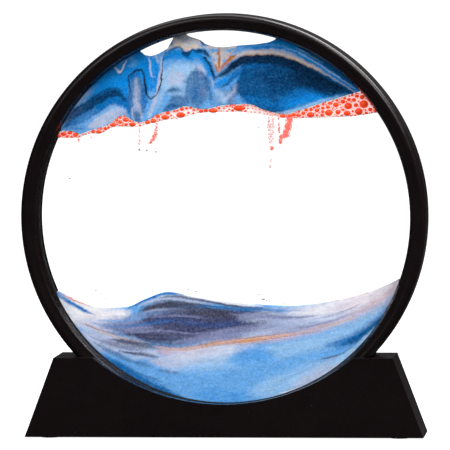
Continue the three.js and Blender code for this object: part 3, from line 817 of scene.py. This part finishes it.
LOWER_STROKES = rows_of("""
sky 60 6 1: -80,-75 0,-72 80,-60
# white crest on the left, fading blue to the right
white 13 5 1: -84,-40 -66,-44 -54,-45.6 -45,-44
lavender 5 4 0.7: -70,-48 -56,-49 -44,-47
ice 12 4 0.95: 20,-44 36,-45 52,-42 66,-37 84,-30
lavender 9 4 0.8: 30,-50 46,-47 62,-42 84,-33
white 6 4 0.8: 46,-42 58,-39.4 70,-34 82,-28
# violet drift
mauve 13 5 0.95: -56,-50 -44,-50 -30,-50 -10,-50 12,-50 44,-48
violet 11 4 0.95: -38,-47 -30,-47.8 -20,-48.2 -9,-47.8 2,-46.6 14,-45.4 24,-45
violet 7 3.5 0.9: -44,-53.6 -34,-54.8 -22,-54.8 -12,-53 -4,-51
smoke 5.6 2.6 0.95: -39,-43 -32,-41 -26,-40.2 -17,-41.2 -6,-43.2 6,-45
indigo 2 2.4 0.6: -46,-50 -36,-48.8 -27,-47.4 -15.6,-48.4 -4,-49.6 12,-47.4
azure 1.2 1.6 0.6: -62,-48.6 -53,-49.9 -46,-50.2 -40,-49.5 -33,-48.6 -24,-47.6
sky 1.6 1.6 0.6: -58,-47 -50,-47.6 -42,-46.8 -36,-45.6
mauve 1.2 1.2 0.5: -41,-44.6 -36,-43.4 -30,-42.3 -24,-42 -16,-42.6
lavender 0.8 1 0.4: -38,-43.6 -32,-42.5 -27,-42
mauve 1 0.8 0.7: -35,-46.2 -27,-45.2 -18,-45.3 -8,-46.4
mauve 0.9 0.8 0.7: -48,-52.4 -38,-52.6 -28,-51.8 -18,-53 -8,-53
mauve 3.6 2.4 0.8: -24,-57.6 -14,-56 -4,-53.6 8,-51.6 22,-50.4
smoke 1.4 1.2 0.6: -52,-51 -42,-53.6 -34,-54.4 -24,-54.4
lavender 7 5 0.75: 8,-55 22,-52 36,-49 56,-43
ice 4 3 0.6: 20,-49 34,-47.6 48,-45 60,-41
violet 5 5 0.6: 8,-46 18,-46.4 30,-46.6
mauve 6 5 0.5: 16,-49 28,-48.6 42,-47
slate 3 2.5 0.5: 16,-46 28,-46.8 40,-46
# crest edge
lavender 3 1.8 0.8: -40,-40.4 -34,-38 -26,-36.6 -17,-37.2 -6,-39.4
smoke 1.1 0.8 0.85: -30,-37 -25,-36.2 -19.5,-36.4 -10,-38 4.9,-40.5 14,-42
white 1.8 0.8 0.85: -22,-35.2 -12,-36.1 0,-38.4 10,-39.9 18,-40.9
azure 1.5 1 0.85: -45,-42.4 -38.6,-39.1 -34,-37 -30.2,-35.4 -25.9,-34.7 -19.6,-35.4
azure 1.5 1.1 0.75: -14,-40.2 -2,-41.4 8,-42.4 20,-43
lavender 8 5 0.8: 8,-46 22,-45.6 38,-45 52,-42.4 66,-38 82,-31
white 7 5 0.85: 30,-43.6 46,-42 60,-38.6 72,-34 82,-29
rose 6 6 0.3: 48,-43 62,-38.6 74,-33 82,-28
azure 1 0.9 0.6: 4,-41.4 14,-42.2 26,-42.8 38,-42.6
mauve 1 1 0.6: 6,-43.8 18,-44.8 30,-45.6 42,-45
mauve 1.4 1.1 0.8: 2,-44.2 14,-45.6 28,-46.2 40,-45.4
# brown and blue lines at the left
azure 1.7 1.3 0.85: -79,-34.6 -73,-38 -69,-40.3 -65.2,-42.6 -60.5,-44.4
rust 0.5 0.45 0.85: -77.5,-33.9 -71.1,-37.3 -65.6,-39.6 -61.5,-40.7
rust 0.5 0.6 0.5: -69,-47.4 -63.9,-49.2 -58.4,-50.9 -52.2,-52.9 -46.7,-53.7
smoke 0.6 0.6 0.55: -66,-48.9 -58.4,-51.3 -52.2,-53.2 -46,-53.9 -38,-54
# lavender shoulder under the drift at the left
lavender 8 3.5 0.95: -66,-53 -56,-57 -44,-60 -30,-63
smoke 2.6 2.4 0.5: -57,-57.2 -48,-59 -37,-60.4
peach 0.9 0.9 0.65: -62,-51 -52,-54.2 -44,-56 -36,-57.4
smoke 2.4 1.8 0.75: -53,-56 -46,-57 -38,-58.6 -31,-60.4
mauve 1.2 1 0.75: -62,-54.6 -54,-57.2 -46,-59.8 -38,-61.4
violet 1.3 1 0.75: -49,-61.4 -43,-62.4 -37,-63 -28.6,-64.6
slate 2 1.5 0.8: -60,-57.4 -54,-61 -47,-64.2 -40,-67 -33,-68.6
slate 1 0.9 0.7: -31,-70.2 -26,-70.6 -21,-71.2
sky 3.5 2.5 0.8: -50,-67 -42,-71 -32,-75 -22,-78
royal 4.6 2.4 0.85: -58,-62.4 -50,-68 -40,-74 -30,-79 -20,-82.6
deep 2 2.2 0.5: -57,-64 -46,-71 -34,-77.4 -24,-81
deep 0.9 0.9 0.5: -46,-68.6 -38,-72.4 -29,-75.4
# copper streak
lavender 6 3.5 0.8: -20,-64.6 -8,-62.6 4,-60 14,-58.6
rose 3.2 2.4 0.8: -32,-61.2 -24,-62.4 -14,-61.6 -4,-59.6
copper 2.3 2.4 0.9: -32,-59.4 -26,-60.3 -20,-60.5 -12.8,-59.5 -4.4,-57.8 4.9,-56.6 15.1,-55.8 30,-54
rose 2.4 2.2 0.6: 14,-56.4 24,-56 36,-53.6 48,-50.6
copper 1.3 1.8 0.35: 20,-55.2 32,-53.6 44,-51
gold 0.5 0.9 0.3: -22,-60.6 -12,-59.5 -4,-57.9 6,-56.6 18,-55.7
rose 3.2 2.8 0.45: 34.6,-52.2 45.7,-49.6 56.8,-46 66.8,-40.4 73.5,-35.6 79,-31
peach 0.8 0.7 0.6: 42,-50.6 51,-48.6 60,-45
rust 0.5 0.6 0.3: 62,-43.4 68,-39.4 73.5,-35.4 78,-31.6
mauve 1.1 0.9 0.7: 26.8,-51.6 38,-50 47,-47.8 58,-44.2
mauve 0.7 0.7 0.5: 40,-46.6 52,-44 62,-39.6
rust 0.5 0.45 0.65: 42,-40 50,-38.4 58,-36.4 68,-33 81,-26.6
# light bed and its blue places
lavender 8 4 0.95: -34,-66 -22,-65.6 -8,-63.4 6,-61
white 5 5 0.35: -24,-64.8 -8,-62.6 8,-60
ice 7 6 0.75: -24,-69.4 0,-66 30,-60 44,-57
sky 7.5 4.5 0.85: 2,-66 13,-64.6 24,-65
sky 8 5 0.6: -10,-80 4,-80 16,-76
bright 6 6 0.4: 2,-64.4 12,-62.6 20,-63
bright 6 6 0.4: -14,-81 0,-82.6 10,-82
ice 10 6 0.85: 12,-80 26,-77 36,-73 48,-67
lavender 7 4.5 0.7: 30,-78 42,-73 56,-64
ice 7 5 0.75: 26,-60 38,-58 50,-55 62,-50 76,-41
royal 4.8 3.4 0.9: 46,-58.8 55,-57 64,-52.4 71,-47 76,-41
deep 3 2.2 0.75: 54,-58.4 61,-55.4 67,-50.6 72,-45.4
smoke 0.6 0.6 0.75: 43,-65.2 48.5,-63.9 54.1,-61.8 60,-58.4
ice 2.6 1.5 0.9: 46,-68 54,-64 62,-57.8 68,-51
white 0.7 0.5 0.85: 18,-83 34,-77.8 46,-71.4 58,-62 65,-54.6
""")


WARP = 0.55
BROAD = 20
BRIGHTEST = 0.97


def painted(x, z, strokes, base, seed, drag):
    """The colour of the sand at each place. drag bends the strokes' edges the way sand creeps."""
    along, across = drag
    wx = x + WARP * cloudy(x * across, z * across, seed) * 2
    wz = z + WARP * cloudy(x * along, z * across, seed + 11) * 2
    colour = np.tile(np.array(base), (len(x), 1))
    for k, (dye, width, soft, strength, points) in enumerate(strokes):
        line = smooth_line(points)
        reach = width / 2 + soft
        low, high = line.min(0) - reach, line.max(0) + reach
        near = (wx > low[0]) & (wx < high[0]) & (wz > low[1]) & (wz < high[1])
        if not near.any():
            continue
        gap, run = line_distance(wx[near], wz[near], line)
        taper = np.clip(np.minimum(run, 1 - run) / 0.25, 0.04, 1) ** 0.6
        ragged = 0.35 * soft * cloudy(x[near] * across * 2.2, z[near] * across * 2.2, seed + 31 + k, 2)
        cover = eased((width / 2 * taper - gap + ragged) / soft + 0.5) * strength
        speckle = lattice_noise(x[near] * 3.1, z[near] * 3.1, seed + 71)
        cover = np.clip(cover + (speckle - 0.5) * 0.7 * cover * (1 - cover), 0, 1)
        # Broad strokes are even grounds. Narrow ones show the streaks along which sand slides.
        uneven, shaded = (0.25, 0.22) if width > BROAD else (0.9, 0.36)
        length = LINE_STEP * len(line)
        streak = cloudy(gap * 1.1 + 7 * k, run * length * 0.09, seed + 51 + k, 3)
        cover = (cover * np.clip(1 + uneven * streak, 0, 1.2)).clip(0, 1)[:, None]
        shade = 1 + shaded * cloudy(gap * 1.7, run * length * 0.12, seed + 91 + k, 3)[:, None]
        colour[near] = colour[near] * (1 - cover) + np.array(DYE[dye]) * shade * cover
    fine = cloudy(x * 1.9, z * 1.9, seed + 17, 2)
    mottle = 1 + 0.18 * fine + 0.16 * cloudy(x * 0.45, z * 0.7, seed + 19, 2)
    return np.minimum(colour * mottle[:, None], BRIGHTEST)


# ---------------- sand between the panes
CELL_R = 84.88
HALF_GAP = 0.13  # growth towards the neighbours, a little less than half of the CAD solids' gap
SAND_HALF, SAND_STEP, LOOK_UP_Y = 1.88, 0.4, -1.7
END_INSET = 0.1
UPPER_KINDS = ("blue", "pale", "ice", "grey", "gold", "crown", "navy")
UPPER_SLOTS = {f"upper_{kind}_sand": f"{kind}_sand" for kind in UPPER_KINDS}
LOWER_SLOTS = {"lower_crest_sand": "pale_sand", "lower_drift_sand": "drift_sand",
               "lower_copper_sand": "gold_sand", "lower_bed_sand": "bed_sand"}


def tree_of(nodes):
    """A search tree over some CAD nodes, in mm about the disc's centre, and each face's node."""
    points, faces, owner = [], [], []
    for number, name in enumerate(nodes):
        mesh = frame["nodes"][name].data
        start = len(points)
        points += [(v.co.x / MM, v.co.y / MM, v.co.z / MM - AXIS_Z) for v in mesh.vertices]
        faces += [[start + i for i in p.vertices] for p in mesh.polygons]
        owner += [number] * len(mesh.polygons)
    return BVHTree.FromPolygons(points, faces), owner


def gentle(values, reach):
    """A row of heights with its small corners rounded off."""
    kernel = np.exp(-0.5 * (np.arange(-3 * reach, 3 * reach + 1) / reach) ** 2)
    padded = np.pad(values, 3 * reach, mode="reflect", reflect_type="odd")
    return np.convolve(padded, kernel / kernel.sum(), mode="valid")


def column_heights(tree, xs, low_side, high_side):
    """Lowest and highest point of the solids over each x, grown by the gap and kept in the cell."""
    lows, highs = [], []
    for x in xs:
        down = tree.ray_cast(Vector((x, 0.02, 120)), Vector((0, 0, -1)))[0]
        up = tree.ray_cast(Vector((x, 0.02, -120)), Vector((0, 0, 1)))[0]
        highs.append(down.z + HALF_GAP if down else np.nan)
        lows.append(up.z - HALF_GAP if up else np.nan)
    lows, highs = np.array(lows), np.array(highs)
    rim = np.sqrt(np.maximum(CELL_R ** 2 - xs ** 2, 0))
    lows = np.maximum(gentle(lows, low_side), -rim)
    highs = np.minimum(gentle(highs, high_side), rim)
    near_rim = 0.55 * CELL_R / np.maximum(rim, 15)  # wider where the rim is steep
    highs = np.where(rim - highs < near_rim, rim, highs)
    lows = np.where(lows + rim < near_rim, -rim, lows)
    return lows, np.maximum(highs, lows + 0.02)


def span_of(nodes):
    low = min(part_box(n)[0].x for n in nodes) / MM
    high = max(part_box(n)[1].x for n in nodes) / MM
    return low + END_INSET, high - END_INSET


def column_grid(xs, lows, highs, rows):
    """Places in columns side by side, each filled evenly from low to high."""
    z = lows[:, None] + (highs - lows)[:, None] * np.linspace(0, 1, rows)[None, :]
    return np.repeat(xs[:, None], rows, 1), z


def block_mesh(x, z, chosen, half, relief):
    """A closed slab made of the chosen cells of a grid, front and back skins with side walls."""
    columns, rows = x.shape
    ids = np.arange(columns * rows).reshape(columns, rows)
    quads = np.stack([ids[:-1, :-1], ids[1:, :-1], ids[1:, 1:], ids[:-1, 1:]], -1)[chosen]
    edges = np.concatenate([quads[:, [i, (i + 1) % 4]] for i in range(4)])
    key = edges.min(1).astype(np.int64) * (columns * rows) + edges.max(1)
    _, first, count = np.unique(key, return_index=True, return_counts=True)
    rim = edges[first[count == 1]]
    used, inverse = np.unique(np.concatenate([quads.ravel(), rim.ravel()]), return_inverse=True)
    n = len(used)
    quads = inverse[:quads.size].reshape(-1, 4)
    rim = inverse[quads.size:].reshape(-1, 2)
    px, pz = x.ravel()[used], z.ravel()[used]
    front = np.stack([px, -half + relief(px, pz, 0), pz], 1)
    back = np.stack([px, half - relief(px, pz, 5), pz], 1)
    walls = np.stack([rim[:, 1], rim[:, 0], rim[:, 0] + n, rim[:, 1] + n], 1)
    faces = np.concatenate([quads, quads[:, ::-1] + n, walls])
    return np.concatenate([front, back]), faces


def add_paint(piece, colours):
    """Stores a linear colour for each point of the piece."""
    layer = piece.data.color_attributes.new("paint", "FLOAT_COLOR", "POINT")
    data = np.ones((len(colours), 4), np.float32)
    data[:, :3] = np.clip(colours, 0, 1)
    layer.data.foreach_set("color", data.ravel())


def sand_relief(px, pz, seed):
    """Grains standing a little off the glass."""
    fine = lattice_noise(px * 1.9, pz * 1.9, 40 + seed)
    return 0.07 * (fine + lattice_noise(px * 0.5, pz * 0.5, 50 + seed))


def make_sands(slots, strokes, seed, drag, smoothing):
    """One slab for each sand node. smoothing rounds the lower and the upper edge of the whole heap."""
    tree, owner = tree_of(slots)
    start, end = span_of(slots)
    xs = np.linspace(start, end, int((end - start) / SAND_STEP) + 1)
    lows, highs = column_heights(tree, xs, *smoothing)
    x, z = column_grid(xs, lows, highs, int((highs - lows).max() / SAND_STEP) + 1)
    centres = zip(((x[:-1, :-1] + x[1:, 1:]) / 2).flat, ((z[:-1, :-1] + z[1:, 1:]) / 2).flat)
    which = np.array([owner[tree.find_nearest(Vector((a, LOOK_UP_Y, b)))[2]] for a, b in centres])
    which = which.reshape(x.shape[0] - 1, x.shape[1] - 1)
    for number, (node, slot) in enumerate(slots.items()):
        points, faces = block_mesh(x, z, which == number, SAND_HALF, sand_relief)
        piece = mesh_piece(node.replace("_sand", "_layer"), points, faces, SAND)
        add_paint(piece, painted(points[:, 0], points[:, 2], strokes, DYE["sky"], seed, drag))
        fitted(piece, "disc", slot, node)


make_sands(UPPER_SLOTS, UPPER_STROKES, seed=100, drag=(0.5, 0.55), smoothing=(2, 1))
make_sands(LOWER_SLOTS, LOWER_STROKES, seed=200, drag=(0.12, 0.6), smoothing=(2, 3))


# ---------------- bubble raft
# Large bubbles: x, z, half width, half height. The small ones fill what is left.
LARGE_BUBBLES = [tuple(map(float, entry.split())) for entry in """
-73.5 38 1.4 0.9, -70.6 38.6 1.1 0.9, -57.3 38.9 1.5 0.8, -50.8 42.1 1.5 0.9, -47.4 43.4 1.0 0.9,
-44.9 44.4 1.6 1.0, -41.9 42.2 1.6 1.0, -38.3 41.7 0.6 0.5, -32.2 43.8 1.5 1.0, -26.8 45.4 2.0 1.1,
-19.7 46.5 2.2 1.3, -10.3 48.2 1.0 0.8, -4.8 48.4 2.2 1.1, 7.2 49.4 2.8 1.3, 26.9 45.8 1.4 0.9,
30.2 45.9 0.9 0.7, 34.2 46.1 1.2 0.8, 39.7 46.3 1.8 1.3, 42.6 48.3 1.1 0.9, 48 47.2 1.9 1.5,
51.2 50.8 1.4 1.1, 54.4 52.2 1.1 1.0, 56.8 50.2 1.9 1.6, 56.3 46.9 1.7 1.2, 61.6 47.7 1.9 1.6,
63.9 51 2.1 1.9, 63.2 54.2 1.2 1.1, 66.8 48.6 1.0 0.9, 69 48 0.9 0.8, 45 46.2 1.0 0.7,
59.4 53 1.0 0.9, 67.6 51.2 0.9 0.9
""".split(",")]
BUBBLE_SIZES = (1.1, 0.75, 0.52, 0.36, 0.28)
BUBBLE_DRAWS = 2200
BUBBLE_HALF, BUBBLE_FRONT = 1.7, -1.85
RAFT_COLUMNS, FILM_ROWS, FILM_HALF, FILM_INSET = 420, 14, 0.7, 0.15

# Stretches of the raft that hold only fine bubbles, well apart: from x, to x, largest radius.
FINE_SPANS = [(-66, -60, 0.4), (-41, -35, 0.3), (-25, -22, 0.5), (-18, -12, 0.6), (-2, 4, 0.5),
              (10.4, 25, 0.36)]
BUBBLE_GAP, FINE_GAP = 0.11, 0.5


def rounded_pebbles(places, rings=7, sectors=14):
    """Round closed bodies with flattened ends, each from x, y, z and half width, depth and height."""
    points, faces = [], []
    for x, y, z, a, b, c in places:
        start = len(points)
        points.append((x, y - b, z))
        for i in range(1, rings):
            tilt = math.pi * i / rings
            wide, deep = math.sin(tilt) ** 0.45, -math.cos(tilt)
            for j in range(sectors):
                turn = 2 * math.pi * j / sectors
                points.append((x + a * wide * math.cos(turn), y + b * deep,
                               z + c * wide * math.sin(turn)))
        points.append((x, y + b, z))
        last = len(points) - 1
        for j in range(sectors):
            k = (j + 1) % sectors
            faces.append((start, start + 1 + j, start + 1 + k))
            faces.append((last, last - sectors + k, last - sectors + j))
            for i in range(rings - 2):
                low, high = start + 1 + i * sectors, start + 1 + (i + 1) * sectors
                faces.append((low + j, high + j, high + k, low + k))
    return points, faces


def small_bubbles(xs, lows, highs, seed):
    """Random bubbles of falling size that keep clear of the rest, by dart throwing."""
    random = np.random.RandomState(seed)
    kept = [(x, z, (a + c) / 2, a, c) for x, z, a, c in LARGE_BUBBLES]
    for size in BUBBLE_SIZES:
        for _ in range(BUBBLE_DRAWS):
            x = random.uniform(xs[0], xs[-1])
            low, high = np.interp(x, xs, lows), np.interp(x, xs, highs)
            r = size * random.uniform(0.75, 1.1)
            if high - low < 2 * r * 0.9 or any(a < x < b and r > most for a, b, most in FINE_SPANS):
                continue
            z = random.uniform(low + 0.9 * r, high - 0.7 * r)
            if math.hypot(x, z) > CELL_R - r * 0.8:
                continue
            gap = FINE_GAP if any(a < x < b for a, b, _ in FINE_SPANS) else BUBBLE_GAP
            clear = all((x - bx) ** 2 / (ba + r + gap) ** 2 + (z - bz) ** 2 / (bc + r + gap) ** 2 > 1
                        for bx, bz, _, ba, bc in kept if abs(bx - x) < 4)
            if clear:
                kept.append((x, z, r, r * random.uniform(0.95, 1.25), r * random.uniform(0.8, 1)))
    return kept[len(LARGE_BUBBLES):]


def bubble_depth(r):
    return min(BUBBLE_HALF, 0.35 + 0.9 * r)


def film_wrinkle(px, pz, seed):
    return 0.25 * lattice_noise(px * 1.3, pz * 1.3, 60 + seed)


def make_raft():
    """Bubbles that touch the front pane, the smaller ones again behind, and the film between them."""
    tree, _ = tree_of(["bubble_raft"])
    xs = np.linspace(*span_of(["bubble_raft"]), RAFT_COLUMNS)
    lows, highs = column_heights(tree, xs, low_side=2, high_side=2)
    sized = [(x, z, (a + c) / 2, a, c) for x, z, a, c in LARGE_BUBBLES]
    sized += small_bubbles(xs, lows, highs, seed=7)
    places = [(x, BUBBLE_FRONT + bubble_depth(r), z, a, bubble_depth(r), c) for x, z, r, a, c in sized]
    places += [(x, -y, z, a, b, c) for x, y, z, a, b, c in places if b < BUBBLE_HALF * 0.8]
    bubbles = mesh_piece("raft_bubbles", *rounded_pebbles(places), BUBBLE)
    fitted(bubbles, "disc", "bubbles", "bubble_raft")
    x, z = column_grid(xs, lows + FILM_INSET, highs - FILM_INSET, FILM_ROWS)
    chosen = np.ones((RAFT_COLUMNS - 1, FILM_ROWS - 1), bool)
    film = mesh_piece("raft_film", *block_mesh(x, z, chosen, FILM_HALF, film_wrinkle), FILM)
    fitted(film, "disc", "bubbles")


# ---------------- falling sand
GRAIN_DYE = dyes("salmon 255 128 116, blush 246 172 166, dusty 218 140 138, ash 150 146 154")
LARGER_DYE, LARGER = "ash", 1.25

# Streams: colour, width at the start and at the end, number of grains, then the line they fall along.
STREAMS = {
    "left_trickle": rows_of("""
salmon 0.5 0.4 9: -38.7,40.2 -38.7,38.4
blush 0.5 0.4 5: -38.6,37 -38.7,36.4
salmon 0.7 0.4 13: -38.7,35 -38.9,33
ash 0.5 0.4 5: -38.7,31 -38.6,30.2
"""),
    "middle_trickle": rows_of("""
salmon 0.8 1.5 64: -30.8,42.6 -31,39.4 -31.6,37
salmon 2.2 1.2 110: -31.4,37.6 -32.2,35.6 -33.9,33.4
ash 0.4 0.3 4: -31.2,31 -30.9,28.4
ash 0.4 0.3 4: -35.4,30.6 -35.6,29.8
"""),
    "right_trickle": rows_of("""
salmon 2.2 3.2 620: 30,46.2 29.6,42 28.6,38.8 27,36
salmon 1.2 0.8 90: 29.4,36.6 27,36.1 25.2,36.6
salmon 2.4 0.5 110: 26.8,36.4 26,34.6 25.9,32.8
"""),
}
LOOSE_GRAINS = rows_of("""
dusty 1.2 1.3 90: 20.6,45.4 20.8,40 21.2,33
blush 1.2 1.3 80: 22.4,45 22.2,39 22.4,33.4
salmon 1.5 1.3 48: 21.9,31.7 21.6,30.1
blush 0.9 0.7 10: 21.5,26.4 21.3,24.8
dusty 0.8 0.7 12: 21,23.4 20.9,22.4
dusty 1.1 0.8 40: 24.8,45.8 25.2,42 25.3,37.8
salmon 0.7 0.7 18: 25.1,41.6 25.4,38
salmon 0.5 0.8 16: -66.7,36.2 -66.6,34
blush 0.3 0.3 6: -61,37 -60.9,35.6
ash 3 3 3: -72,19 -69,15
ash 3 3 11: -17,-33 -9,-35
ash 3 3 5: -59,-33 -54,-38
ash 1.6 1.6 9: 14,-37 27,-39.6
ash 0.6 0.6 4: 15.6,-35.4 16,-35.6
ash 0.4 0.4 2: 16,40.6 16.2,40.4
""")


def stream_grains(streams, random):
    """Grains strewn about the given lines, thickest at the middle of each."""
    places, colours = [], []
    for dye, first, last, count, points in streams:
        line = smooth_line(points, 0.3)
        for _ in range(int(count)):
            run = random.uniform(0, 1)
            at = line[int(run * (len(line) - 1))]
            spread = (first * (1 - run) + last * run) / 2
            dx = float(np.clip(random.normal(0, 0.62), -1.25, 1.25)) * spread
            size = random.uniform(0.13, 0.3) * (LARGER if dye == LARGER_DYE else 1)
            places.append((at[0] + dx, random.uniform(-1.5, -0.4), at[1] + random.uniform(-0.2, 0.2),
                           size * random.uniform(0.9, 1.3), size, size * random.uniform(0.8, 1.1)))
            colours.append(np.array(GRAIN_DYE[dye]) * random.uniform(0.85, 1.15))
    return places, colours


def grain_piece(name, streams, seed, nodes=()):
    rings, sectors = 4, 7
    places, colours = stream_grains(streams, np.random.RandomState(seed))
    points, faces = rounded_pebbles(places, rings, sectors)
    piece = mesh_piece(name, points, faces, GRAIN)
    add_paint(piece, np.repeat(np.array(colours), 2 + (rings - 1) * sectors, 0))
    fitted(piece, "disc", "salmon_sand", *nodes)


make_raft()
for order, (node, streams) in enumerate(STREAMS.items()):
    grain_piece(node.replace("trickle", "stream"), streams, seed=20 + order, nodes=[node])
grain_piece("loose_grains", LOOSE_GRAINS, seed=31)


# ---------------- liquid: the CAD solids, made clear
for node in ("clear_liquid", "upper_left_pocket", "upper_right_pocket"):
    frame["nodes"][node].data.materials.clear()
    frame["nodes"][node].data.materials.append(LIQUID)
